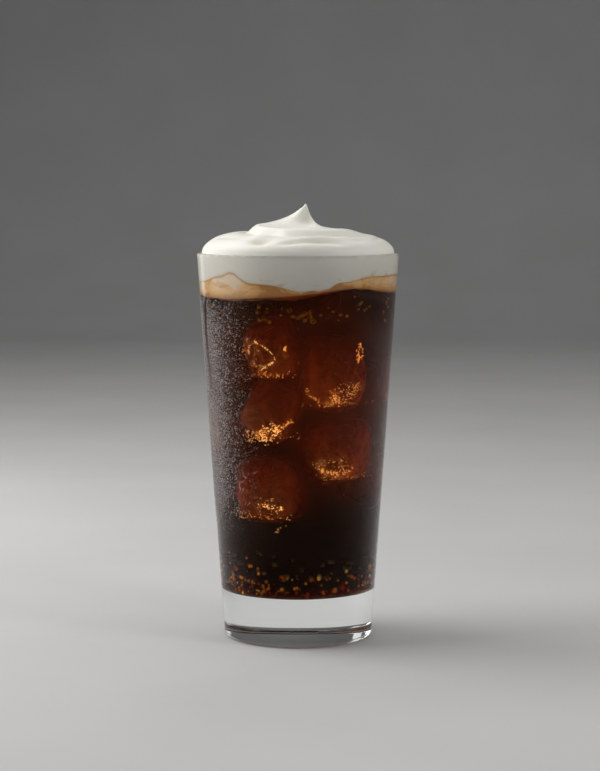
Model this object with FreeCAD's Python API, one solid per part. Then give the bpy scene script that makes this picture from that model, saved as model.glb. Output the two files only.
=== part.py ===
"""Iced coffee under whipped cream, served in a tall tapered tumbler.

Units are millimetres. Z is up, the origin is the centre of the foot where the tumbler stands,
and the front of the drink faces -Y. Azimuths are counted from the front, positive to the right.

Four pieces, one STEP file each, all closed solids that touch face to face:
    glass    tumbler with a thick clear base, a rounded heel and a rounded lip
    coffee   the drink, from the tumbler's floor up to its uneven level
    crema    coffee foam between the drink and the cream
    cream    whipped cream: a mound with one spiral fold that ends beside a leaning peak
"""

import FreeCAD
import Part

import math
import os

from FreeCAD import Vector

# --- Tumbler -------------------------------------------------------------------------------------
GLASS_HEIGHT = 153.0
LIP_RADIUS = 40.0  # outside radius that the straight wall reaches at the top
BASE_RADIUS = 29.4  # outside radius that the straight wall would have at the table
LIP_WALL = 1.9
FLOOR_WALL = 2.6  # wall thickness at the floor
FLOOR_HEIGHT = 19.3  # clear base, from the table to the inside floor
HEEL_RADIUS = 2.4  # rounding between the wall and the foot
FLOOR_FILLET = 2.6  # rounding between the inside floor and the wall
FOOT_RING = 3.0  # width of the flat ring that the tumbler stands on
PUNT_DEPTH = 1.2  # hollow inside the foot ring

# --- Levels --------------------------------------------------------------------------------------
COFFEE_DROP = 15.0  # mean level of the coffee below the lip
CREMA_THICKNESS = 5.0  # mean thickness of the coffee foam
CREAM_TUCK = 1.1  # how far below the lip the cream meets the wall

# Waves of the coffee's level at the wall as (azimuth, half-width, rise in millimetres).
COFFEE_WAVES = (
    (-50, 40, -2.0),
    (34, 24, 2.5),
    (100, 30, 0.4),
    (160, 30, -1.0),
    (-140, 25, 0.8),
)
# Waves of the foam's thickness at the wall as (azimuth, half-width, share of the mean thickness).
CREMA_WAVES = (
    (-50, 17, 0.75),
    (-41, 6, 0.5),
    (3, 13, -0.85),
    (30, 14, -0.5),
    (78, 24, 0.35),
    (130, 22, -0.4),
    (-150, 24, 0.35),
)

# --- Whipped cream -------------------------------------------------------------------------------
MOUND_HEIGHT = 7.7  # above the lip
MOUND_FLATNESS = 7  # exponent of the mound's outline: higher is a flatter top
MOUND_FULLNESS = 0.6  # exponent of its edge: lower is a rounder, steeper side
STEEPEST_SHARE = 0.99  # share of the radius from which the side runs straight down to the wall

# The fold starts near the wall on the right and winds clockwise, past the front, to the peak.
FOLD_START_AZIMUTH = 100
FOLD_START_INSET = 9.0  # how far inside the wall it starts
FOLD_PITCH = 15.5  # how much closer to the middle it gets in one turn
FOLD_FADE = 50  # degrees over which it grows, and over which it dies away one full turn later
FOLD_RISE = 1.9  # the inner side stands this much above the outer side
FOLD_WIDTH = 5.5  # distance over which it rises
GROOVE_DEPTH = 0.7
GROOVE_WIDTH = 2.4

# Hollows as (azimuth, inset from the wall, half-length round the mound, half-width, depth).
HOLLOWS = (
    (-33, 16.1, 5.5, 2.6, 1.3),
    (-8, 10.6, 3.4, 1.8, 0.5),
)

PEAK_HEIGHT = 19.2  # above the lip
PEAK_OFFSET = (3.3, 0.0)
FLANK_REACH = 2.1  # distance over which the steepest side falls
# Ridges that run down from the peak as (azimuth, half-width, extra reach).
PEAK_RIDGES = (
    (-97, 70, 8.2),
    (36, 24, 1.7),
    (116, 24, 0.5),
)
RELIEF_FADE = 0.17  # share of the radius, at the wall, over which folds and hollows fade out

# --- Grids that carry the uneven surfaces --------------------------------------------------------
LEVEL_STEP = 2.0
CREAM_STEP = 1.1
GRID_MARGIN = 2.5  # how far the grids reach past the wall


# --- Outlines ------------------------------------------------------------------------------------
def point(radius, height):
    return Vector(radius, 0, height)


def arc(start, middle, end):
    return Part.Arc(start, middle, end).toShape()


def line(start, end):
    return Part.LineSegment(start, end).toShape()


def fillet(corner, toward_a, toward_b, radius):
    """Tangent point, middle and tangent point of the arc that rounds a corner of the outline."""
    a = (toward_a - corner).normalize()
    b = (toward_b - corner).normalize()
    half = a.getAngle(b) / 2
    setback = radius / math.tan(half)
    inward = (a + b).normalize()
    middle = corner + inward * (radius / math.sin(half) - radius)
    return corner + a * setback, middle, corner + b * setback


def revolve(edges):
    """The solid that a closed outline in the XZ plane makes in one turn round Z."""
    face = Part.Face(Part.Wire(edges))
    return face.revolve(Vector(0, 0, 0), Vector(0, 0, 1), 360)


# --- Tumbler -------------------------------------------------------------------------------------
def outer_radius(height):
    return BASE_RADIUS + (LIP_RADIUS - BASE_RADIUS) * height / GLASS_HEIGHT


def lip():
    """Outer, top and inner points of the rounded lip."""
    wall = Vector(LIP_RADIUS - BASE_RADIUS, 0, GLASS_HEIGHT).normalize()
    outward = Vector(wall.z, 0, -wall.x)
    rounding = LIP_WALL / 2
    height = GLASS_HEIGHT - rounding
    # The rounding's centre lies its own radius inside the straight wall, square to it.
    centre = point(outer_radius(height) - rounding / outward.x, height)
    return centre + outward * rounding, point(centre.x, GLASS_HEIGHT), centre - outward * rounding


def inside_outline():
    """The inside of the tumbler from the lip down the wall to the middle of the floor."""
    _, _, lip_in = lip()
    floor_centre = point(0, FLOOR_HEIGHT)
    corner = point(outer_radius(FLOOR_HEIGHT) - FLOOR_WALL, FLOOR_HEIGHT)
    wall_in, middle, floor_in = fillet(corner, lip_in, floor_centre, FLOOR_FILLET)
    return [line(lip_in, wall_in), arc(wall_in, middle, floor_in), line(floor_in, floor_centre)]


def make_glass():
    lip_out, lip_top, lip_in = lip()
    heel_foot, heel_middle, heel_wall = fillet(
        point(BASE_RADIUS, 0), point(0, 0), point(LIP_RADIUS, GLASS_HEIGHT), HEEL_RADIUS
    )
    ring_in = point(heel_foot.x - FOOT_RING, 0)
    punt = point(0, PUNT_DEPTH)
    # The punt is a shallow dome, a circle through its top and the inner edge of the foot ring.
    dome_radius = (ring_in.x**2 + PUNT_DEPTH**2) / (2 * PUNT_DEPTH)
    half_way = ring_in.x / 2
    half_way_fall = dome_radius - math.sqrt(dome_radius**2 - half_way**2)
    return revolve(
        inside_outline()
        + [
            line(point(0, FLOOR_HEIGHT), punt),
            arc(punt, point(half_way, PUNT_DEPTH - half_way_fall), ring_in),
            line(ring_in, heel_foot),
            arc(heel_foot, heel_middle, heel_wall),
            line(heel_wall, lip_out),
            arc(lip_out, lip_top, lip_in),
        ]
    )


def make_cavity():
    """Everything that the wall encloses, carried straight up to well above the cream."""
    _, _, lip_in = lip()
    top = GLASS_HEIGHT + 2 * PEAK_HEIGHT
    return revolve(
        inside_outline()
        + [
            line(point(0, FLOOR_HEIGHT), point(0, top)),
            line(point(0, top), point(lip_in.x, top)),
            line(point(lip_in.x, top), lip_in),
        ]
    )


# --- Uneven surfaces -----------------------------------------------------------------------------
def azimuth(x, y):
    """Degrees from the front, positive to the right."""
    return math.degrees(math.atan2(x, -y))


def turn_between(a, b):
    """The turn from azimuth b to azimuth a, from -180 to 180 degrees."""
    return (a - b + 180) % 360 - 180


def bell(distance, half_width):
    return math.exp(-((distance / half_width) ** 2))


def smooth_step(value):
    """Rises smoothly from 0 to 1 while value goes from 0 to 1."""
    value = min(max(value, 0.0), 1.0)
    return value * value * (3 - 2 * value)


def wave(waves, x, y, wall_radius):
    """The sum of the waves: in full at the wall, and flat in the middle."""
    share = min(math.hypot(x, y) / wall_radius, 1.0)
    degrees = azimuth(x, y)
    return share**2 * sum(size * bell(turn_between(degrees, at), width) for at, width, size in waves)


def coffee_top(x, y, wall_radius):
    return GLASS_HEIGHT - COFFEE_DROP + wave(COFFEE_WAVES, x, y, wall_radius)


def crema_top(x, y, wall_radius):
    thickness = CREMA_THICKNESS * (1 + wave(CREMA_WAVES, x, y, wall_radius))
    return coffee_top(x, y, wall_radius) + thickness


def mound_outline(share):
    """The mound's height as a share of its full height, straight on beyond the steepest place."""
    inner = min(share, STEEPEST_SHARE)
    fall = 1 - inner**MOUND_FLATNESS
    slope = MOUND_FULLNESS * fall ** (MOUND_FULLNESS - 1) * MOUND_FLATNESS * inner ** (MOUND_FLATNESS - 1)
    return fall**MOUND_FULLNESS - slope * (share - inner)


def mound_height(share):
    """The mound, from the middle (share 0) to where it meets the wall (share 1)."""
    at_wall = mound_outline(1.0)
    rise = (mound_outline(share) - at_wall) / (1 - at_wall)
    return (MOUND_HEIGHT + CREAM_TUCK) * rise - CREAM_TUCK


def fold_height(inset, degrees):
    """The ledge and the groove of the spiral fold, summed over the turns that pass this azimuth."""
    height = 0.0
    clockwise = (FOLD_START_AZIMUTH - degrees) % 360
    for turned in (clockwise, clockwise + 360):
        left = 360 + FOLD_FADE - turned
        strength = smooth_step(turned / FOLD_FADE) * smooth_step(left / FOLD_FADE)
        past = inset - FOLD_START_INSET - FOLD_PITCH * turned / 360
        ledge = FOLD_RISE * smooth_step(past / FOLD_WIDTH)
        height += strength * (ledge - GROOVE_DEPTH * bell(past, GROOVE_WIDTH))
    return height


def hollow_depth(inset, degrees, wall_radius):
    depth = 0.0
    for at, at_inset, half_length, half_width, deep in HOLLOWS:
        along = math.radians(turn_between(degrees, at)) * (wall_radius - at_inset)
        depth += deep * bell(along, half_length) * bell(inset - at_inset, half_width)
    return depth


def peak_rise(x, y):
    """The leaning peak, above the mound and the inside of the fold."""
    dx, dy = x - PEAK_OFFSET[0], y - PEAK_OFFSET[1]
    degrees = azimuth(dx, dy)
    reach = FLANK_REACH
    for at, half_width, extra in PEAK_RIDGES:
        reach += extra * bell(turn_between(degrees, at), half_width)
    return (PEAK_HEIGHT - MOUND_HEIGHT - FOLD_RISE) * math.exp(-math.hypot(dx, dy) / reach)


def cream_top(x, y, wall_radius):
    radius = math.hypot(x, y)
    share = radius / wall_radius
    inset = wall_radius - radius
    degrees = azimuth(x, y)
    relief = fold_height(inset, degrees) - hollow_depth(inset, degrees, wall_radius) + peak_rise(x, y)
    return GLASS_HEIGHT + mound_height(share) + relief * smooth_step((1 - share) / RELIEF_FADE)


def below(surface, wall_radius, step):
    """A block whose top face follows the surface and whose bottom is far below the tumbler."""
    reach = wall_radius + GRID_MARGIN
    count = math.ceil(2 * reach / step)
    places = [reach * (2 * i / count - 1) for i in range(count + 1)]
    sheet = Part.BSplineSurface()
    sheet.interpolate([[Vector(x, y, surface(x, y, wall_radius)) for y in places] for x in places])
    return sheet.toShape().extrude(Vector(0, 0, -2 * GLASS_HEIGHT))


def make_contents():
    """The coffee, its foam and the cream, cut from the cavity by the surfaces between them."""
    _, _, lip_in = lip()
    cavity = make_cavity()
    under_coffee = below(coffee_top, lip_in.x, LEVEL_STEP)
    under_crema = below(crema_top, lip_in.x, LEVEL_STEP)
    under_cream = below(cream_top, lip_in.x, CREAM_STEP)
    return {
        "coffee": cavity.common(under_coffee),
        "crema": cavity.common(under_crema).cut(under_coffee),
        "cream": cavity.common(under_cream).cut(under_crema),
    }


def main():
    pieces = {"glass": make_glass(), **make_contents()}
    os.makedirs("parts", exist_ok=True)
    for name, shape in pieces.items():
        shape.exportStep(os.path.join("parts", name + ".step"))
        print(f"{name}: {len(shape.Solids)} solid, {shape.Volume / 1000:.1f} ml")


main()
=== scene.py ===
"""Iced coffee under whipped cream in a tall tumbler: its looks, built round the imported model.

Lengths are metres, and MM turns millimetres into them. Z is up and the front faces -Y.
Azimuths are degrees from the front, positive to the right.
"""

import math
import random

import bmesh
import bpy
from mathutils import Matrix, Vector, noise
from mathutils.bvhtree import BVHTree


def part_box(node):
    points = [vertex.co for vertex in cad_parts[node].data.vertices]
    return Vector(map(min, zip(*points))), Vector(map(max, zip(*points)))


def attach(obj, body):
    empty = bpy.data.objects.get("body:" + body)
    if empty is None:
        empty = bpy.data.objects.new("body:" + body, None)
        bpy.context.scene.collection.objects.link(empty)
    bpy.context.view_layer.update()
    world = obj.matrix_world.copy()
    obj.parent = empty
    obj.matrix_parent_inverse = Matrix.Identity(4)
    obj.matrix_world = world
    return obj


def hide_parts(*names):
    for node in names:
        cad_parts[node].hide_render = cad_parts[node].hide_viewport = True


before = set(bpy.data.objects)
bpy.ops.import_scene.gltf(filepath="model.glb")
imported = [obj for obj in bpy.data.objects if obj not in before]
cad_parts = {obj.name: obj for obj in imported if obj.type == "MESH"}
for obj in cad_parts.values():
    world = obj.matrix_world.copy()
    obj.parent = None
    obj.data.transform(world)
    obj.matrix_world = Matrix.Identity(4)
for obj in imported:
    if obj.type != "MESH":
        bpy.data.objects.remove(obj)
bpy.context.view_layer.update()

MM = 0.001
BODY = "root"

# --- Where things are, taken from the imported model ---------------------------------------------
SURFACES = {
    name: BVHTree.FromObject(node, bpy.context.evaluated_depsgraph_get())
    for name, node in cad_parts.items()
}
LIP_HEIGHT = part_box("glass")[1].z
FLOOR_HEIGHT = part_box("coffee")[0].z
SEAT = 0.12 * MM  # how far the drink reaches into the wall, so that no air shows between them
SEGMENTS = 240  # of the round layers


def outward(azimuth):
    """The level direction that an azimuth points in."""
    turn = math.radians(azimuth)
    return Vector((math.sin(turn), -math.cos(turn), 0))


def inner_radius(height):
    """Of the tumbler's cavity, seen towards the front."""
    hit = SURFACES["glass"].ray_cast(Vector((0, 0, height)), outward(0.0))
    return Vector(hit[0][:2]).length


def outer_radius(height):
    """Of the tumbler's outside, seen from the front."""
    way = outward(0.0)
    hit = SURFACES["glass"].ray_cast(way + Vector((0, 0, height)), -way)
    return Vector(hit[0][:2]).length


def straight_line(at, low, high):
    """The straight line through at(low) and at(high), as a function."""
    start, end = at(low), at(high)
    return lambda value: start + (end - start) * (value - low) / (high - low)


wall_inside = straight_line(inner_radius, FLOOR_HEIGHT + 10 * MM, LIP_HEIGHT - 3 * MM)
wall_outside = straight_line(outer_radius, 10 * MM, LIP_HEIGHT - 3 * MM)
MOUTH_RADIUS = wall_inside(LIP_HEIGHT - 1 * MM)


def top_of(node, x, y):
    """The height of a node's upper surface over a point, or beside it just inside the wall."""
    place = Vector((x, y, 0))
    inside = 0.4 * MM
    for _ in range(12):
        hit = SURFACES[node].ray_cast(place + Vector((0, 0, 1)), Vector((0, 0, -1)))
        if hit[0] is not None:
            return hit[0].z
        place = place * (1 - inside / place.length)
    raise ValueError(f"{node} has no surface near {x:.4f}, {y:.4f}")


def bell(distance, half_width):
    """1 at no distance, falling smoothly to about a third at the half width."""
    return math.exp(-((distance / half_width) ** 2))


def turn_between(a, b):
    """How far a lies from b round the tumbler, from -180 to 180 degrees."""
    return (a - b + 180) % 360 - 180


def azimuth_of(x, y):
    return math.degrees(math.atan2(x, -y))


# --- Materials ----------------------------------------------------------------------------------
class Finish:
    """A material's node tree, with short calls for the nodes that these finishes share."""

    def __init__(self, name):
        self.material = bpy.data.materials.new(name)
        self.material.use_nodes = True
        self.tree = self.material.node_tree
        self.tree.nodes.clear()
        self.output = self.node("ShaderNodeOutputMaterial")
        self.shader = self.node("ShaderNodeBsdfPrincipled")
        self.link(self.shader.outputs["BSDF"], self.output.inputs["Surface"])
        self.place = self.node("ShaderNodeTexCoord").outputs["Object"]

    def node(self, kind, **settings):
        made = self.tree.nodes.new(kind)
        for key, value in settings.items():
            setattr(made, key, value)
        return made

    def link(self, source, target):
        self.tree.links.new(source, target)

    def set(self, **values):
        """Sets the shader's own sockets; an underscore stands for a space."""
        for key, value in values.items():
            self.shader.inputs[key.replace("_", " ")].default_value = value

    def stretched(self, scale):
        mapping = self.node("ShaderNodeMapping")
        mapping.inputs["Scale"].default_value = scale
        self.link(self.place, mapping.inputs["Vector"])
        return mapping.outputs["Vector"]

    def noise(self, scale, detail=3.0, roughness=0.5, distortion=0.0, place=None):
        made = self.node("ShaderNodeTexNoise")
        made.inputs["Scale"].default_value = scale
        made.inputs["Detail"].default_value = detail
        made.inputs["Roughness"].default_value = roughness
        made.inputs["Distortion"].default_value = distortion
        self.link(place or self.place, made.inputs["Vector"])
        return made.outputs["Fac"]

    def attribute(self, name):
        return self.node("ShaderNodeAttribute", attribute_name=name).outputs["Fac"]

    def math(self, operation, first, second):
        made = self.node("ShaderNodeMath", operation=operation)
        for socket, value in zip(made.inputs, (first, second)):
            if isinstance(value, (int, float)):
                socket.default_value = value
            else:
                self.link(value, socket)
        return made.outputs["Value"]

    def ramp(self, factor, *stops, smooth=False):
        """A colour or grey ramp; stops are (position, colour or grey)."""
        made = self.node("ShaderNodeValToRGB")
        made.color_ramp.interpolation = "EASE" if smooth else "LINEAR"
        elements = made.color_ramp.elements
        while len(elements) < len(stops):
            elements.new(0.5)
        for element, (position, colour) in zip(elements, stops):
            element.position = position
            element.color = (*colour, 1) if isinstance(colour, tuple) else (colour,) * 3 + (1,)
        self.link(factor, made.inputs["Fac"])
        return made.outputs["Color"]

    def mix(self, factor, first, second):
        made = self.node("ShaderNodeMix", data_type="RGBA")
        sockets = (made.inputs["Factor"], made.inputs[6], made.inputs[7])
        for socket, value in zip(sockets, (factor, first, second)):
            if isinstance(value, tuple):
                socket.default_value = (*value, 1)
            elif isinstance(value, (int, float)):
                socket.default_value = value
            else:
                self.link(value, socket)
        return made.outputs[2]

    def bump(self, height, distance, strength=1.0):
        made = self.node("ShaderNodeBump")
        made.inputs["Distance"].default_value = distance
        made.inputs["Strength"].default_value = strength
        self.link(height, made.inputs["Height"])
        self.link(made.outputs["Normal"], self.shader.inputs["Normal"])

    def absorb(self, colour, density):
        made = self.node("ShaderNodeVolumeAbsorption")
        made.inputs["Color"].default_value = (*colour, 1)
        made.inputs["Density"].default_value = density
        self.link(made.outputs["Volume"], self.output.inputs["Volume"])


def clear_glass():
    finish = Finish("clear_glass")
    finish.set(Base_Color=(1, 1, 1, 1), Transmission_Weight=1.0, IOR=1.5, Specular_Tint=(0.07, 0.07, 0.07, 1))
    smears = finish.noise(55, detail=4, place=finish.stretched((1, 1, 0.35)))
    finish.link(finish.ramp(smears, (0.45, 0.0), (0.8, 0.045)), finish.shader.inputs["Roughness"])
    finish.bump(finish.noise(28, detail=1), 0.12 * MM, 0.25)
    finish.absorb((0.9, 1.0, 0.97), 3.0)
    return finish.material


def cold_coffee():
    """Red-brown coffee, with a faint painted red glow among the ice that stands in for light carried through
    the drink.
    """
    finish = Finish("cold_coffee")
    finish.set(Transmission_Weight=0.984, IOR=1.333, Roughness=0.0, Specular_Tint=(0, 0, 0, 1))
    haze = finish.noise(40, detail=3, distortion=0.8)
    tone = finish.ramp(haze, (0.35, (0.85, 0.3, 0.13)), (0.65, (0.98, 0.46, 0.24)))
    finish.link(tone, finish.shader.inputs["Base Color"])
    split = finish.node("ShaderNodeSeparateXYZ")
    finish.link(finish.place, split.inputs["Vector"])
    # Painted light: a faint red glow, emitted in a band of height among the ice, in noisy patches.
    level = finish.math("MULTIPLY", split.outputs["Z"], 6.0)
    among_ice = finish.ramp(level, (0.27, 0.0), (0.42, 1.0), (0.7, 1.0), (0.84, 0.6), smooth=True)
    patches = finish.ramp(finish.noise(34, detail=2), (0.32, 0.25), (0.66, 1.0), smooth=True)
    painted_red_glow = finish.mix(finish.math("MULTIPLY", among_ice, patches), (0.0, 0.0, 0.0), (1.0, 0.12, 0.02))
    finish.link(painted_red_glow, finish.shader.inputs["Emission Color"])
    finish.set(Emission_Strength=0.024)
    finish.bump(finish.noise(60, detail=1), 0.05 * MM, 0.2)
    finish.absorb((0.79, 0.42, 0.0), 650.0)
    return finish.material


def coffee_foam():
    """Tan foam that the coffee has stained amber to brown, with a dark line where the cream lies on it."""
    finish = Finish("coffee_foam")
    finish.set(Roughness=0.45, Subsurface_Weight=0.3, Subsurface_Scale=0.0015)
    finish.shader.inputs["Subsurface Radius"].default_value = (1.0, 0.6, 0.3)
    clouds = finish.noise(60, detail=5, roughness=0.6, distortion=1.8, place=finish.stretched((1, 1, 1.9)))
    drift = finish.math("MULTIPLY", finish.math("SUBTRACT", clouds, 0.5), 1.7)
    soaked = finish.ramp(finish.attribute("share"), (0.0, 0.4), (0.7, 0.0), smooth=True)
    stain = finish.math("ADD", finish.math("ADD", finish.attribute("stain"), soaked), drift)
    body = finish.ramp(
        stain,
        (0.0, (0.94, 0.77, 0.58)),
        (0.35, (0.93, 0.62, 0.3)),
        (0.7, (0.87, 0.49, 0.17)),
        (1.0, (0.6, 0.27, 0.07)),
        smooth=True,
    )
    share = finish.math("ADD", finish.attribute("share"), finish.math("MULTIPLY", drift, 0.16))
    foot = finish.ramp(share, (0.0, 0.6), (0.3, 0.0), smooth=True)
    browned = finish.mix(foot, body, (0.42, 0.17, 0.045))
    seam = finish.ramp(share, (0.84, 0.0), (0.97, 0.5), (1.0, 0.3), smooth=True)
    wisps = finish.noise(42, detail=3, distortion=1.6, place=finish.stretched((1, 1, 3.0)))
    thin = finish.ramp(wisps, (0.56, 0.0), (0.61, 0.25), (0.7, 0.0), smooth=True)
    seamed = finish.mix(seam, browned, (0.5, 0.22, 0.06))
    finish.link(finish.mix(thin, seamed, (0.45, 0.19, 0.05)), finish.shader.inputs["Base Color"])
    finish.bump(finish.noise(900, detail=2), 0.05 * MM, 0.5)
    return finish.material


def whipped_cream():
    """Ivory cream, stained tan where it meets the foam behind the glass, with a yellowish painted shade in
    its dimples and folds.
    """
    finish = Finish("whipped_cream")
    finish.set(Roughness=0.36, Subsurface_Weight=0.25, Subsurface_Scale=0.0018, IOR=1.4)
    finish.shader.inputs["Subsurface Radius"].default_value = (1.0, 0.85, 0.5)
    tint = finish.ramp(finish.noise(24, detail=3), (0.3, (0.85, 0.825, 0.735)), (0.7, (0.89, 0.87, 0.795)))
    # Painted shade: yellowish where a point lies deep in a fold or dimple.
    painted_hollow_shade = finish.ramp(finish.attribute("hollow_shade_depth"), (0.1, 0.0), (1.0, 0.65), smooth=True)
    tint = finish.mix(painted_hollow_shade, tint, (0.78, 0.72, 0.57))
    drift = finish.noise(85, detail=3, distortion=1.0, place=finish.stretched((1, 1, 1.8)))
    lift = finish.math("ADD", finish.attribute("lift"), finish.math("MULTIPLY", drift, 2.4))
    lift = finish.math("MULTIPLY", lift, 0.25)
    stain = finish.ramp(lift, (0.28, 0.8), (0.4, 0.25), (0.6, 0.0), smooth=True)
    stained = finish.mix(stain, tint, (0.8, 0.6, 0.38))
    low = finish.math("MULTIPLY", finish.attribute("lift"), 0.15)
    low = finish.ramp(low, (0.15, 1.0), (0.42, 0.0), smooth=True)
    wisps = finish.noise(50, detail=3, distortion=1.8, place=finish.stretched((1, 1, 3.0)))
    specks = finish.noise(520, detail=1)
    streaks = finish.ramp(wisps, (0.58, 0.0), (0.62, 0.45), (0.67, 0.0), smooth=True)
    thin = finish.math("ADD", streaks, finish.ramp(specks, (0.74, 0.0), (0.78, 0.7)))
    colour = finish.mix(finish.math("MULTIPLY", thin, low), stained, (0.62, 0.35, 0.14))
    finish.link(colour, finish.shader.inputs["Base Color"])
    finish.bump(finish.noise(160, detail=4, roughness=0.6), 0.12 * MM, 0.35)
    return finish.material


def cloudy_ice():
    """Ice: faces that are clear in places and clouded in others, fine frost lines, painted highlights along
    its edges, painted shade deeper behind the wall, and a faint painted amber glow.
    """
    finish = Finish("cloudy_ice")
    finish.set(IOR=1.31)
    cloud = finish.noise(95, detail=4, roughness=0.6, distortion=1.2)
    frost = finish.noise(300, detail=5, roughness=0.75, distortion=3.0)
    lines = finish.ramp(frost, (0.5, 0.0), (0.54, 1.0), (0.58, 0.0))
    body = finish.ramp(cloud, (0.36, (0.08, 0.075, 0.07)), (0.64, (0.42, 0.4, 0.37)))
    patches = finish.noise(60, detail=2)
    # Painted highlight: pale colour along the rounded edges, in patches, standing in for light caught there.
    edge = finish.ramp(finish.attribute("edge"), (0.66, 0.0), (0.92, 1.0), smooth=True)
    edge_highlight = finish.math("MULTIPLY", edge, finish.ramp(patches, (0.42, 0.15), (0.6, 1.0)))
    highlighted_body = finish.mix(edge_highlight, body, (0.75, 0.72, 0.68))
    frosted = finish.mix(finish.math("MULTIPLY", lines, 0.22), highlighted_body, (1, 1, 1))
    # Painted shade: the deeper a point lies behind the wall, the nearer to black its colour.
    sunk = finish.math("MULTIPLY", finish.attribute("depth"), 0.05)
    sunk = finish.ramp(sunk, (0.1, 0.0), (0.36, 1.0), smooth=True)
    finish.link(finish.mix(sunk, frosted, (0.012, 0.008, 0.006)), finish.shader.inputs["Base Color"])
    finish.link(finish.ramp(cloud, (0.36, 0.4), (0.64, 0.0)), finish.shader.inputs["Transmission Weight"])
    # Painted light: a faint amber glow, standing in for light carried through the ice.
    finish.set(Emission_Color=(1.0, 0.35, 0.12, 1), Emission_Strength=0.03)
    finish.link(finish.ramp(cloud, (0.3, 0.08), (0.7, 0.35)), finish.shader.inputs["Roughness"])
    finish.bump(finish.noise(90, detail=4), 0.6 * MM, 0.45)
    return finish.material


def gold_film():
    """Bubbles with a golden film, dark where it is thin."""
    finish = Finish("gold_film")
    finish.set(IOR=1.33)
    shade = finish.noise(700, detail=2)
    colour = finish.ramp(shade, (0.4, (0.1, 0.08, 0.008)), (0.6, (0.56, 0.5, 0.05)))
    finish.link(colour, finish.shader.inputs["Base Color"])
    finish.link(finish.ramp(shade, (0.3, 0.05), (0.7, 0.18)), finish.shader.inputs["Roughness"])
    return finish.material


def amber_film():
    """Small beads: a few gold, most of them amber or brown, some dark red, each with a faint painted glow in
    its own colour.
    """
    finish = Finish("amber_film")
    finish.set(IOR=1.33)
    kinds = finish.ramp(
        finish.noise(330, detail=0),
        (0.3, (0.3, 0.01, 0.004)),
        (0.4, (0.16, 0.06, 0.015)),
        (0.52, (0.6, 0.4, 0.08)),
        (0.62, (1.0, 0.95, 0.25)),
    )
    # Painted light: the beads glow faintly in their own colour.
    finish.link(kinds, finish.shader.inputs["Emission Color"])
    finish.set(Emission_Strength=0.12)
    finish.link(kinds, finish.shader.inputs["Base Color"])
    finish.link(finish.ramp(finish.noise(900), (0.3, 0.05), (0.7, 0.2)), finish.shader.inputs["Roughness"])
    return finish.material


def glowing_frost_crystal():
    """Bright frost crystals whose strong yellow glow is painted light, standing in for glints."""
    finish = Finish("glowing_frost_crystal")
    # Painted light: a strong pale yellow glow, as if the crystals caught the lamps.
    finish.set(IOR=1.5, Emission_Color=(1.0, 0.9, 0.42, 1), Emission_Strength=1.0)
    sparkle = finish.noise(900, detail=1)
    tone = finish.ramp(sparkle, (0.4, (0.7, 0.66, 0.6)), (0.6, (1, 1, 1)))
    finish.link(tone, finish.shader.inputs["Base Color"])
    finish.link(finish.ramp(sparkle, (0.4, 0.1), (0.6, 0.3)), finish.shader.inputs["Roughness"])
    return finish.material


def dew():
    finish = Finish("dew")
    finish.set(Base_Color=(0.95, 0.92, 0.89, 1), Transmission_Weight=0.78, IOR=1.333)
    finish.link(finish.ramp(finish.noise(300), (0.4, 0.08), (0.7, 0.2)), finish.shader.inputs["Roughness"])
    return finish.material


def pale_floor():
    finish = Finish("pale_floor")
    finish.set(Roughness=0.6)
    grain = finish.noise(9, detail=4)
    tone = finish.ramp(grain, (0.3, (0.53, 0.525, 0.51)), (0.7, (0.57, 0.56, 0.55)))
    finish.link(tone, finish.shader.inputs["Base Color"])
    return finish.material


# --- Making pieces ------------------------------------------------------------------------------
def make_piece(name, bm, material, stands_for=()):
    """Turns a bmesh into a finished piece of the drink."""
    mesh = bpy.data.meshes.new(name)
    bm.to_mesh(mesh)
    bm.free()
    mesh.materials.append(material)
    mesh.shade_smooth()
    piece = bpy.data.objects.new(name, mesh)
    bpy.context.scene.collection.objects.link(piece)
    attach(piece, BODY)
    if stands_for:
        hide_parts(*stands_for)
    return piece


class Drum:
    """A closed round layer, grown ring by ring: out along its floor, up its wall, in over its roof."""

    def __init__(self, first_radius):
        self.bm = bmesh.new()
        self.measure = self.bm.verts.layers.float.new("measure")
        bmesh.ops.create_circle(
            self.bm, cap_ends=True, cap_tris=True, segments=SEGMENTS, radius=first_radius
        )
        self.ring = [edge for edge in self.bm.edges if edge.is_boundary]

    def grow(self, reach):
        """Adds a ring; reach(azimuth) gives its radius, height and measure."""
        made = bmesh.ops.extrude_edge_only(self.bm, edges=self.ring)["geom"]
        self.ring = [item for item in made if isinstance(item, bmesh.types.BMEdge) and item.is_boundary]
        for vert in {vert for edge in self.ring for vert in edge.verts}:
            self.set(vert, *reach(azimuth_of(vert.co.x, vert.co.y)))

    def set(self, vert, radius, height, measure):
        way = Vector((vert.co.x, vert.co.y, 0))
        if way.length > 1e-7:
            way = way.normalized() * radius
        vert.co = (way.x, way.y, height)
        vert[self.measure] = measure

    def close(self, height, measure):
        """Fills the last ring with a fan that meets at the given height."""
        roof = bmesh.ops.contextual_create(self.bm, geom=self.ring)["faces"]
        middle = bmesh.ops.poke(self.bm, faces=roof)["verts"][0]
        middle.co.z = height
        middle[self.measure] = measure
        bmesh.ops.recalc_face_normals(self.bm, faces=self.bm.faces)


def shares(count, start, end):
    """Even steps from start, which is left out, to end."""
    return [start + (end - start) * i / count for i in range(1, count + 1)]


def height_in_mm(height, low, high):
    return (height - low) / MM


def share_of_height(height, low, high):
    return (height - low) / (high - low)


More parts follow.
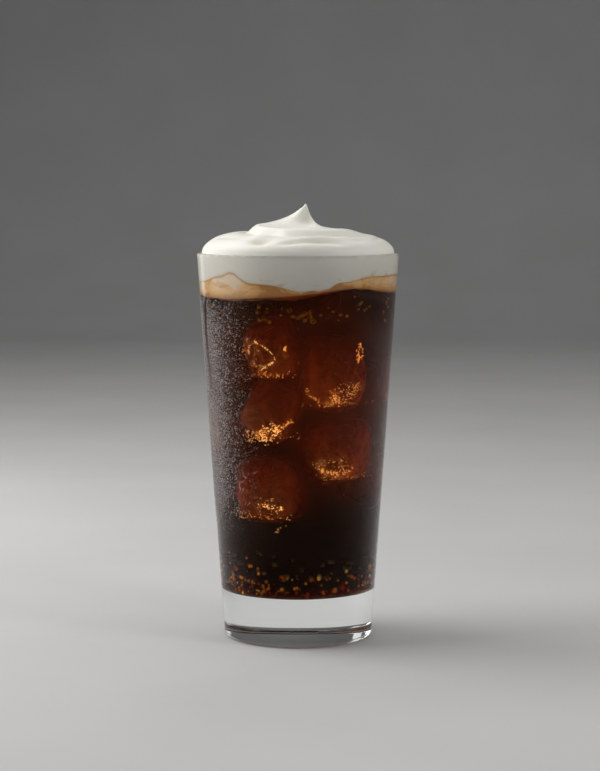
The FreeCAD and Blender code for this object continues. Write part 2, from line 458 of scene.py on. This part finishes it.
def layer(floor_at, roof_at, wall_rings, roof_rings, foot=(), skirt=0.3 * MM, measure=height_in_mm):
    """A layer of the drink between two uneven levels, with a measure of how high in it each point lies."""
    first = 0.02
    drum = Drum(first * MOUTH_RADIUS)
    for vert in drum.bm.verts:
        drum.set(vert, Vector(vert.co[:2]).length, floor_at(vert.co.x, vert.co.y) - skirt, 0.0)

    def at(radius, azimuth):
        way = outward(azimuth) * radius
        return way.x, way.y

    def floor_ring(share):
        def reach(azimuth):
            radius = share * (wall_inside(floor_at(*at(MOUTH_RADIUS, azimuth))) - skirt)
            return radius, floor_at(*at(radius, azimuth)) - skirt, 0.0
        return reach

    def wall_ring(share):
        def reach(azimuth):
            low, high = floor_at(*at(MOUTH_RADIUS, azimuth)), roof_at(*at(MOUTH_RADIUS, azimuth))
            height = low + (high - low) * share
            return wall_inside(height) + SEAT, height, measure(height, low, high)
        return reach

    def roof_ring(share):
        def reach(azimuth):
            edge = wall_inside(roof_at(*at(MOUTH_RADIUS, azimuth))) + SEAT
            x, y = at(share * edge, azimuth)
            height = roof_at(x, y)
            return share * edge, height, measure(height, floor_at(x, y), height)
        return reach

    if foot:
        for radius, height in foot:
            drum.grow(lambda azimuth, radius=radius, height=height: (radius, height, 0.0))
    else:
        for share in shares(24, first, 0.9) + shares(10, 0.9, 1.0):
            drum.grow(floor_ring(share))
    for share in shares(wall_rings, 0.0 if foot else -1.0 / wall_rings, 1.0):
        drum.grow(wall_ring(share))
    for share in shares(roof_rings, 1.0, first):
        drum.grow(roof_ring(share))
    drum.close(roof_at(0, 0), 0.0)
    return drum.bm


def name_measure(piece, name):
    piece.data.attributes["measure"].name = name


def mark_points(piece, name, value_at):
    """Gives each point of a piece its own value, for the finish to read."""
    marks = piece.data.attributes.new(name, "FLOAT", "POINT")
    for mark, vert in zip(marks.data, piece.data.vertices):
        mark.value = value_at(vert.co)


# --- The drink ----------------------------------------------------------------------------------
PRESSED_AZIMUTH = 16  # where the cream presses nearly through the foam
PRESSED_DEPTH = 2.6 * MM
THINNEST_FOAM = 0.7 * MM


def coffee_level(x, y):
    return top_of("coffee", x, y)


def crema_level(x, y):
    """The top of the foam, which the cream presses nearly through at one place beside the front."""
    near_wall = min(1.0, math.hypot(x, y) / MOUTH_RADIUS) ** 2
    pressed = PRESSED_DEPTH * bell(turn_between(azimuth_of(x, y), PRESSED_AZIMUTH), 5) * near_wall
    top = top_of("crema", x, y)
    return max(top - pressed, min(top, coffee_level(x, y) + THINNEST_FOAM))


def cream_level(x, y):
    return top_of("cream", x, y)


def make_coffee(material):
    """The drink, whose foot follows the rounding between the tumbler's floor and its wall."""
    floor = FLOOR_HEIGHT - SEAT
    rise = [0.05, 0.3, 0.7, 1.2, 1.9, 2.8]
    foot = [(share * (inner_radius(FLOOR_HEIGHT + rise[0] * MM)), floor) for share in shares(6, 0.02, 1.0)]
    foot += [(inner_radius(FLOOR_HEIGHT + up * MM) + SEAT, FLOOR_HEIGHT + up * MM) for up in rise]
    start = FLOOR_HEIGHT + rise[-1] * MM
    bm = layer(lambda x, y: start, coffee_level, 8, 30, foot=foot, skirt=start - floor)
    return make_piece("drink", bm, material, ("coffee",))


# Where foam hangs lowest into the coffee: azimuth, half width, depth in mm.
HANGING = (
    (-5, 9, 1.9),
    (8, 6, 0.8),
    (-40, 12, 0.6),
    (100, 18, 3.0),
    (-130, 20, 2.5),
    (160, 14, 2.8),
)


def bloom(x, y):
    """How far the foam hangs into the coffee, a little away from the wall."""
    share = min(math.hypot(x, y) / MOUTH_RADIUS, 1.0)
    azimuth = azimuth_of(x, y)
    drape = sum(depth * bell(turn_between(azimuth, middle), width) for middle, width, depth in HANGING)
    lobes = noise.noise(Vector((x, y, 0)) / (7 * MM)) + 0.5 * noise.noise(Vector((x, y, 1)) / (3 * MM))
    return max(0.0, 0.6 + drape + 1.2 * lobes) * MM * (1 - share**26)


# How strongly the coffee stains the foam round the glass: azimuth, half width, strength.
STAINS = (
    (-66, 9, 0.45),
    (-18, 13, 0.8),
    (5, 16, 0.9),
    (24, 12, 0.6),
    (52, 20, 0.5),
    (110, 25, 0.7),
    (170, 30, 0.45),
    (-110, 22, 0.6),
)


def stain_at(place):
    azimuth = azimuth_of(place.x, place.y)
    return sum(strength * bell(turn_between(azimuth, middle), width) for middle, width, strength in STAINS)


def make_crema(material):
    bm = layer(lambda x, y: coffee_level(x, y) - bloom(x, y), crema_level, 14, 30, measure=share_of_height)
    piece = make_piece("foam", bm, material, ("crema",))
    name_measure(piece, "share")
    mark_points(piece, "stain", stain_at)
    return piece


FOLD_CRISPNESS = 1.1  # how much the folds stand out from a smoothed copy of the cream
SMOOTHINGS = 60
PEAK = Vector((3.3, 0, 0)) * MM
PEAK_SIZE = 5 * MM
# Dimples and ridges of the top: azimuth and distance of the middle (mm), half length and half width
# (mm), turn in degrees, and rise (mm; a dimple's is negative).
DIMPLES = (
    (-25, 33.4, 4.8, 2.0, -25, -2.1),
    (-27, 29.4, 6.0, 1.2, -27, 0.9),
    (-7, 34.4, 4.5, 0.9, -1, -0.8),
    (14, 33.4, 11.0, 1.2, 9, -1.3),
    (17, 30.6, 10.0, 1.2, 12, 0.6),
    (44, 33.0, 6.0, 1.1, 42, -0.7),
    (-62, 31.0, 7.0, 1.4, -58, -0.7),
    (80, 31.5, 8.0, 1.4, 84, -0.9),
    (128, 33.0, 9.0, 1.5, 124, -0.9),
    (-125, 32.0, 9.0, 1.5, -128, -1.0),
    (178, 33.0, 8.0, 1.4, 176, -0.9),
)
LIP_SWELL = 0.9 * MM  # how far the cream swells over the lip
SWELL_HEIGHT = 2.6 * MM
CALM_RIM = 1.5 * MM  # the ring along the wall that has no folds, and how wide the folds fade in
CALM_FADE = 4 * MM


def dimple_rise(x, y):
    """How far the dimples and ridges lift the top over a point."""
    rise = 0.0
    for azimuth, distance, long, wide, turn, height in DIMPLES:
        away = Vector((x, y)) / MM - Vector(outward(azimuth)[:2]) * distance
        away.rotate(Matrix.Rotation(math.radians(-turn), 2))
        rise += height * bell(away.x, long) * bell(away.y, wide)
    return rise * MM


def make_cream(material):
    """The cream over the foam, with crisp folds, swelling a little over the lip."""
    bm = layer(crema_level, cream_level, 20, 110)
    hollow_shade_depth = bm.verts.layers.float.new("hollow_shade_depth")
    for _ in range(2):
        bmesh.ops.smooth_vert(bm, verts=bm.verts, factor=0.3, use_axis_z=True)
    bm.normal_update()
    smoothed = bm.copy()
    for _ in range(SMOOTHINGS):
        bmesh.ops.smooth_vert(smoothed, verts=smoothed.verts, factor=0.5, use_axis_z=True)
    for vert, calm in zip(bm.verts, smoothed.verts):
        way = Vector((vert.co.x, vert.co.y, 0))
        edge = max(0.0, min(1.0, (MOUTH_RADIUS - way.length - CALM_RIM) / CALM_FADE))
        away = 1 - bell((way - PEAK).length, PEAK_SIZE)
        swell = LIP_SWELL * bell(vert.co.z - LIP_HEIGHT - SWELL_HEIGHT, SWELL_HEIGHT)
        swell *= (way.length / MOUTH_RADIUS) ** 4
        vert.co.z += FOLD_CRISPNESS * edge * away * (vert.co.z - calm.co.z)
        if vert.co.z > LIP_HEIGHT:
            rise = edge * dimple_rise(vert.co.x, vert.co.y)
            # How deep the point lies in a fold or dimple, for the finish's painted shade.
            vert[hollow_shade_depth] = edge * (calm.co.z - vert.co.z) / MM - rise / MM
            vert.co.z += rise
        if way.length > MOUTH_RADIUS / 2:
            vert.co += way.normalized() * swell
    smoothed.free()
    piece = make_piece("whipped_cream", bm, material, ("cream",))
    name_measure(piece, "lift")
    return piece


# --- Ice ------------------------------------------------------------------------------------------
# Each block: azimuth, height of its middle, gap to the wall, then width, depth and tallness, and its
# turn in degrees about the axis that faces out, about the upright, and about the third.
ICE_BLOCKS = (
    (-20, 116, 2.0, 20, 18, 23, -12, 0, -5),
    (-22, 93.5, 2.4, 21, 18, 26, 24, 6, -6),
    (-27, 62, 2.1, 26, 20, 27, -7, 0, -6),
    (28, 107, 2.9, 27, 20, 29, 5, 4, -6),
    (37, 77, 2.8, 29, 20, 26, -6, 0, -8),
    (98, 104, 3.0, 20, 18, 22, 12, 0, 0),
    (-96, 84, 3.2, 22, 18, 21, -16, 5, 3),
    (168, 112, 3.0, 22, 19, 20, 8, 0, -5),
    (-150, 62, 2.6, 22, 18, 24, 14, 0, -4),
    (-143, 100, 3.0, 20, 17, 22, -20, 0, -4),
    (150, 82, 2.8, 22, 18, 24, 18, -5, -3),
    (108, 62, 3.0, 19, 17, 20, -14, 0, 0),
)
ICE_CUTS = 13
ICE_SQUARENESS = 3.0
MELT = 0.07  # unevenness as a share of a block's half size


def ice_place(azimuth, height, gap, width, depth, tall, roll, turn, lean):
    """Where a block floats: its outer face lies the gap behind the wall."""
    radius = wall_inside(height * MM) - (gap + depth / 2) * MM
    place = Matrix.Translation(outward(azimuth) * radius + Vector((0, 0, height * MM)))
    facing = Matrix.Rotation(math.radians(azimuth + turn), 4, "Z")
    rolled = Matrix.Rotation(math.radians(roll), 4, "Y")
    return place @ facing @ rolled @ Matrix.Rotation(math.radians(lean), 4, "X")


def ice_block(number, width, depth, tall, place):
    """A cube whose edges have melted round; marks how near each point lies to an edge and to the wall."""
    bm = bmesh.new()
    edge_mark = bm.verts.layers.float.new("edge")
    depth_mark = bm.verts.layers.float.new("depth")
    bmesh.ops.create_cube(bm, size=2.0)
    bmesh.ops.subdivide_edges(bm, edges=bm.edges, cuts=ICE_CUTS, use_grid_fill=True)
    half = Vector((width, depth, tall)) * MM / 2
    for vert in bm.verts:
        x, y, z = (abs(value) for value in vert.co)
        vert[edge_mark] = sorted((x, y, z))[1]
        power = ICE_SQUARENESS
        vert.co /= (x**power + y**power + z**power) ** (1 / power)
        spot = vert.co * 1.3 + Vector((number * 7.1, 0, 0))
        melt = noise.noise(spot) + 0.45 * noise.noise(spot * 2.7)
        vert.co *= 1 + MELT * melt
        vert.co = place @ Vector(vert.co * half)
        vert[depth_mark] = (wall_inside(vert.co.z) - Vector(vert.co[:2]).length) / MM
    mesh = bpy.data.meshes.new("ice_block")
    bm.to_mesh(mesh)
    bm.free()
    return mesh


def make_ice(material):
    bm = bmesh.new()
    for number, sizes in enumerate(ICE_BLOCKS):
        block = ice_block(number, *sizes[3:6], ice_place(*sizes))
        bm.from_mesh(block)
        bpy.data.meshes.remove(block)
    bmesh.ops.recalc_face_normals(bm, faces=bm.faces)
    return make_piece("ice_blocks", bm, material)


# --- Small things, each kind in one piece ---------------------------------------------------------
def bead_shape(segments=7, rings=4):
    bm = bmesh.new()
    bmesh.ops.create_uvsphere(bm, u_segments=segments, v_segments=rings, radius=1.0)
    mesh = bpy.data.meshes.new("bead_shape")
    bm.to_mesh(mesh)
    bm.free()
    return mesh


def speck_shape():
    bm = bmesh.new()
    bmesh.ops.create_icosphere(bm, subdivisions=1, radius=1.0)
    mesh = bpy.data.meshes.new("speck_shape")
    bm.to_mesh(mesh)
    bm.free()
    return mesh


def gather(name, shape, places, material):
    """One piece of many copies of a shape, each moved by its own matrix."""
    bm = bmesh.new()
    for place in places:
        copy = shape.copy()
        copy.transform(place)
        bm.from_mesh(copy)
        bpy.data.meshes.remove(copy)
    return make_piece(name, bm, material)


def on_wall(azimuth, height, radius, size, wide=1.0, high=1.0, deep=1.0, roll=0.0):
    """Where a bead goes: upright against the wall, with its own width, height and depth."""
    place = Matrix.Translation(outward(azimuth) * radius + Vector((0, 0, height)))
    facing = Matrix.Rotation(math.radians(azimuth), 4, "Z") @ Matrix.Rotation(math.radians(roll), 4, "Y")
    return place @ facing @ Matrix.Diagonal((size * wide, size * deep, size * high, 1))


# Gold bubbles under the foam: azimuth, drop below the coffee's top edge, count, size, spread (mm).
BUBBLE_CLUSTERS = (
    (-25, 4.5, 2, 0.95, 1.6),
    (-22, 8.0, 4, 1.15, 1.7),
    (-17, 5.5, 2, 0.5, 1.5),
    (-9, 6.5, 2, 0.55, 2.0),
    (-4, 6.5, 2, 1.1, 1.8),
    (1, 8.5, 2, 0.95, 1.6),
    (7, 8.5, 5, 1.1, 2.2),
    (13, 8.5, 1, 0.7, 0.5),
    (20, 6.5, 2, 0.5, 4.0),
    (27, 10.5, 3, 0.55, 3.0),
    (39, 6.5, 6, 0.6, 3.4),
    (45, 7.5, 3, 0.6, 3.0),
    (-58, 6.0, 4, 0.7, 4.0),
    (66, 7.0, 5, 0.8, 4.0),
    (95, 6.0, 6, 1.0, 4.5),
    (128, 7.5, 5, 0.8, 4.5),
    (170, 6.0, 6, 1.0, 5.0),
    (-150, 7.0, 5, 0.9, 5.0),
    (-112, 6.5, 6, 1.0, 4.5),
)


def make_bubbles(material):
    chance = random.Random(11)
    placed = []
    places = []
    for azimuth, drop, count, size, spread in BUBBLE_CLUSTERS:
        for _ in range(count):
            for _ in range(30):
                height = coffee_level(*(outward(azimuth) * MOUTH_RADIUS)[:2]) - drop * MM
                height += chance.gauss(0, spread / 2.4) * MM
                around = azimuth + math.degrees(chance.gauss(0, spread / 2) * MM / MOUTH_RADIUS)
                radius = size * chance.uniform(0.75, 1.15) * MM
                middle = outward(around) * (wall_inside(height) - 0.72 * radius) + Vector((0, 0, height))
                if all((middle - other).length > 0.9 * (radius + reach) for other, reach in placed):
                    break
            else:
                continue
            placed.append((middle, radius))
            wide, high = chance.uniform(0.95, 1.25), chance.uniform(0.8, 1.0)
            away, roll = Vector(middle[:2]).length, chance.uniform(-40, 40)
            places.append(on_wall(around, height, away, radius, wide, high, 0.85, roll))
    return gather("gold_bubbles", bead_shape(12, 8), places, material)


BOTTOM_BEADS = 230
HIGHEST_BEAD = 17  # mm above the tumbler's floor


def make_bottom_beads(material):
    """Beads that cling to the wall near the floor, thickest at the left."""
    chance = random.Random(5)
    places = []
    placed = []
    while len(places) < BOTTOM_BEADS:
        azimuth = chance.uniform(-180, 180)
        crowd = 0.28 + 0.7 * bell(turn_between(azimuth, -42), 32) + 0.25 * bell(turn_between(azimuth, 50), 30)
        if chance.random() > crowd:
            continue
        rise = 1.5 + abs(chance.gauss(0, 5.5))
        if rise > HIGHEST_BEAD:
            continue
        height = FLOOR_HEIGHT + rise * MM
        size = chance.choice((0.3, 0.4, 0.5, 0.6, 0.85)) * chance.uniform(0.85, 1.15) * MM
        gap = chance.choice((0.0, 0.0, 0.4, 1.0, 2.0, 3.2, 4.0)) * MM
        inside = min(wall_inside(height), inner_radius(height)) if rise < 3.5 else wall_inside(height)
        radius = inside - 0.8 * size - gap
        middle = outward(azimuth) * radius + Vector((0, 0, height))
        if any((middle - other).length < 0.9 * (size + reach) for other, reach in placed):
            continue
        placed.append((middle, size))
        high, roll = chance.uniform(0.9, 1.5), chance.uniform(-30, 30)
        places.append(on_wall(azimuth, height, radius, size, 1.0, high, 0.9, roll))
    return gather("bottom_beads", bead_shape(10, 6), places, material)


def dew_thickness(azimuth, height):
    """How thickly the dew lies at a place on the wall, from 0 to 1."""
    left = 1.15 * bell(turn_between(azimuth, -68), 24) * (0.75 + 0.35 * bell(height - 88 * MM, 34 * MM))
    right = 0.3 * bell(turn_between(azimuth, 70), 18) * bell(height - 78 * MM, 14 * MM)
    back = 0.12 * bell(turn_between(azimuth, 165), 30) * bell(height - 95 * MM, 25 * MM)
    band = min(1, max(0, (height - 42 * MM) / (18 * MM))) * min(1, max(0, (139 * MM - height) / (7 * MM)))
    return min(1.0, left + right + back) * band


DEW_SPACING = 0.78 * MM
DEW_FOOT = 40 * MM  # the lowest row of drops, and how far the rows go up from it
DEW_HEIGHT = 100 * MM


def make_dew(name, material, shape, low, high, share, seed):
    """Drops spaced as evenly as breath on a cold glass; low and high are their radii in mm."""
    chance = random.Random(seed)
    places = []
    for row in range(int(DEW_HEIGHT / DEW_SPACING)):
        level = DEW_FOOT + row * DEW_SPACING
        columns = int(2 * math.pi * wall_outside(level) / DEW_SPACING)
        for column in range(columns):
            azimuth = (column + 0.5 * (row % 2) + chance.uniform(-0.36, 0.36)) * 360 / columns - 180
            height = level + chance.uniform(-0.36, 0.36) * DEW_SPACING
            thickness = dew_thickness(azimuth, height)
            if thickness < 0.06 or chance.random() > thickness * share:
                continue
            run = abs(turn_between(azimuth, -70 + 1.5 * math.sin(height / (7 * MM))))
            if run < 2.2 and height > 100 * MM:
                continue
            size = chance.uniform(low, high) * (0.7 + 0.3 * thickness)
            places.append(
                on_wall(azimuth, height, wall_outside(height) + 0.08 * size * MM, size * MM,
                        chance.uniform(0.9, 1.1), chance.uniform(0.9, 1.2), 0.5)
            )
    return gather(name, shape, places, material)


# Glitter of glowing crystals at the melted edges of the ice, painted glints, each on an arc: azimuth and
# height of its middle, half width and half height, tilt, where the arc starts and ends, spread, count,
# size, and depth behind the wall.
GLITTER = (
    (-24.3, 114.6, 5.6, 4.3, -25, 15, 205, 0.22, 46, 0.2, 0.3),
    (-24.3, 114.6, 5.4, 4.1, -25, 235, 350, 0.35, 26, 0.17, 0.5),
    (-19.5, 110.8, 2.8, 0.25, 32, 0, 360, 0.15, 26, 0.2, 0.4),
    (-30, 116.5, 3.5, 3.0, 0, 0, 360, 1.2, 60, 0.14, 1.0),
    (-8.5, 116, 0.6, 1.9, 0, 0, 360, 0.35, 18, 0.45, 2.0),
    (-20, 84.6, 3.6, 1.9, 28, 0, 360, 0.9, 150, 0.24, 0.9),
    (-31, 83.5, 3.6, 1.5, 0, 0, 360, 1.0, 70, 0.16, 0.9),
    (-10, 87.3, 3.8, 0.4, 32, 0, 360, 0.35, 34, 0.28, 2.2),
    (-20, 55.6, 4.8, 0.5, -6, 0, 360, 0.4, 80, 0.24, 1.2),
    (-26, 57.4, 4.6, 0.9, 14, 0, 360, 0.6, 44, 0.17, 1.5),
    (-44, 52, 2.6, 1.3, -20, 0, 360, 0.7, 20, 0.15, 0.4),
    (-8, 51, 0.9, 1.6, 0, 0, 360, 0.6, 5, 0.2, 0.7),
    (-15, 47, 1.8, 1.2, 20, 0, 360, 0.6, 5, 0.2, 0.6),
    (32.5, 99.8, 5.6, 1.9, 14, 0, 360, 1.0, 150, 0.18, 1.3),
    (18, 107, 10.5, 10.5, 0, 215, 305, 0.5, 70, 0.17, 1.8),
    (43.5, 115, 1.1, 3.2, 0, 0, 360, 0.5, 44, 0.3, 1.7),
    (25, 70.8, 5.5, 2.8, -8, 0, 360, 1.2, 140, 0.15, 1.3),
    (28.5, 77, 8.5, 9.0, 0, 212, 325, 0.4, 60, 0.2, 1.3),
)


CRYSTALS_UNDER_A_BLOCK = 60


def make_glitter(material):
    """Crystals along the melted edges of the ice, lying near the wall, glowing as painted glints."""
    chance = random.Random(3)
    places = []

    def add(azimuth, height, depth, size):
        radius = wall_inside(height) - depth * MM - size
        stretch = chance.uniform(0.6, 2.2)
        roll = chance.uniform(0, 180)
        places.append(on_wall(azimuth, height, radius, size, stretch, 1.0 / stretch**0.5, 0.7, roll))

    for azimuth, height, wide, high, tilt, start, end, spread, count, size, depth in GLITTER:
        for _ in range(count):
            turn = math.radians(chance.uniform(start, end))
            flat = Vector((wide * math.cos(turn), high * math.sin(turn)))
            flat *= 1 + 0.12 * math.sin(3 * turn + azimuth) + chance.gauss(0, 0.02)
            flat.rotate(Matrix.Rotation(math.radians(tilt), 2))
            flat += Vector((chance.gauss(0, spread), chance.gauss(0, spread)))
            place_height = (height + flat.y) * MM
            around = azimuth + math.degrees(flat.x * MM / wall_inside(place_height))
            sunk = max(0.1, chance.gauss(depth, 0.3))
            add(around, place_height, sunk, size * chance.uniform(0.5, 1.25) * MM)
    for azimuth, height, gap, width, _, tall, *_ in ICE_BLOCKS:
        low = height - tall * 0.42
        for _ in range(CRYSTALS_UNDER_A_BLOCK):
            turn = chance.gauss(0, width * 0.26)
            level = (low + abs(chance.gauss(0, 1.6))) * MM
            around = azimuth + math.degrees(turn * MM / wall_inside(level))
            add(around, level, max(0.3, chance.gauss(gap * 0.8, 0.4)), chance.choice((0.1, 0.14, 0.2)) * MM)
    return gather("glinting_ice_crystals", speck_shape(), places, material)


# --- The studio ---------------------------------------------------------------------------------
EYE = Vector((0.8, -855.2, 181.7)) * MM
TILT = 5.45  # degrees that the camera looks down
LENS = 100.8
FLOOR_SIZE = 6.0
BEND_START = 1.6  # where the sheet starts to bend up behind the drink
BEND_RADIUS = 0.6
BEND_STEPS = 12
SHEET_TOP = 3.0


def make_studio():
    """A pale sheet that lies under the drink and bends up behind it."""
    bm = bmesh.new()
    sheet = bmesh.ops.create_grid(bm, x_segments=1, y_segments=1, size=FLOOR_SIZE / 2)
    back = [edge for edge in bm.edges if all(vert.co.y > 0 for vert in edge.verts)]
    for edge in back:
        for vert in edge.verts:
            vert.co.y = BEND_START
    for step in range(1, BEND_STEPS + 1):
        made = bmesh.ops.extrude_edge_only(bm, edges=back)["geom"]
        verts = [item for item in made if isinstance(item, bmesh.types.BMVert)]
        back = [item for item in made if isinstance(item, bmesh.types.BMEdge)]
        back = [edge for edge in back if edge.verts[0] in verts and edge.verts[1] in verts]
        turn = math.pi / 2 * step / BEND_STEPS
        for vert in verts:
            vert.co.y = BEND_START + BEND_RADIUS * math.sin(turn)
            vert.co.z = BEND_RADIUS * (1 - math.cos(turn))
    made = bmesh.ops.extrude_edge_only(bm, edges=back)["geom"]
    for item in made:
        if isinstance(item, bmesh.types.BMVert):
            item.co.z = SHEET_TOP
    mesh = bpy.data.meshes.new("studio_floor")
    bm.to_mesh(mesh)
    bm.free()
    mesh.materials.append(pale_floor())
    mesh.shade_smooth()
    floor = bpy.data.objects.new("studio_floor", mesh)
    bpy.context.scene.collection.objects.link(floor)


DRINK_MIDDLE = 80 * MM  # the height that the lights point at


def add_softbox(name, azimuth, distance, height, width, tall, power, mirrored=True):
    """A soft light of that many watts; one that isn't mirrored leaves no reflection on the glass."""
    light = bpy.data.lights.new(name, "AREA")
    light.shape = "RECTANGLE"
    light.size = width
    light.size_y = tall
    light.energy = power
    lamp = bpy.data.objects.new(name, light)
    lamp.location = outward(azimuth) * distance + Vector((0, 0, height))
    aim = Vector((0, 0, DRINK_MIDDLE)) - lamp.location
    lamp.rotation_euler = aim.to_track_quat("-Z", "Y").to_euler()
    lamp.visible_camera = False
    lamp.visible_glossy = mirrored
    bpy.context.scene.collection.objects.link(lamp)


def light_studio():
    world = bpy.data.worlds.new("studio_air")
    world.use_nodes = True
    air = world.node_tree.nodes["Background"]
    air.inputs["Color"].default_value = (0.95, 0.97, 1.0, 1)
    air.inputs["Strength"].default_value = 0.15
    bpy.context.scene.world = world
    add_softbox("key", -97, 0.75, 0.44, 0.85, 0.8, 8.2, mirrored=False)
    add_softbox("side", 95, 0.7, 0.4, 0.9, 0.7, 1.5, mirrored=False)
    add_softbox("left_strip", -140, 0.5, 0.34, 0.12, 0.6, 0.15)
    add_softbox("right_strip", 56, 0.45, 0.34, 0.1, 0.6, 0.7)
    add_softbox("overhead", -115, 0.4, 0.62, 0.35, 0.3, 0.9)
    add_softbox("backdrop", 180, 0.9, 1.4, 1.6, 0.5, 5)


def place_camera():
    data = bpy.data.cameras.new("camera")
    data.lens = LENS
    data.sensor_width = 36
    data.clip_start = 0.01
    camera = bpy.data.objects.new("camera", data)
    camera.location = EYE
    camera.rotation_euler = (math.radians(90 - TILT), 0, 0)
    bpy.context.scene.collection.objects.link(camera)
    bpy.context.scene.camera = camera


def main():
    place_camera()
    light_studio()
    make_studio()
    bpy.context.scene.view_settings.view_transform = "Standard"
    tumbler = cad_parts["glass"]
    tumbler.data.materials.clear()
    tumbler.data.materials.append(clear_glass())
    make_coffee(cold_coffee())
    make_crema(coffee_foam())
    make_cream(whipped_cream())
    make_ice(cloudy_ice())
    make_glitter(glowing_frost_crystal())
    make_bubbles(gold_film())
    make_bottom_beads(amber_film())
    water = dew()
    make_dew("fine_dew", water, speck_shape(), 0.24, 0.36, 1.0, 21)
    make_dew("dew_drops", water, bead_shape(), 0.36, 0.5, 0.025, 22)


main()
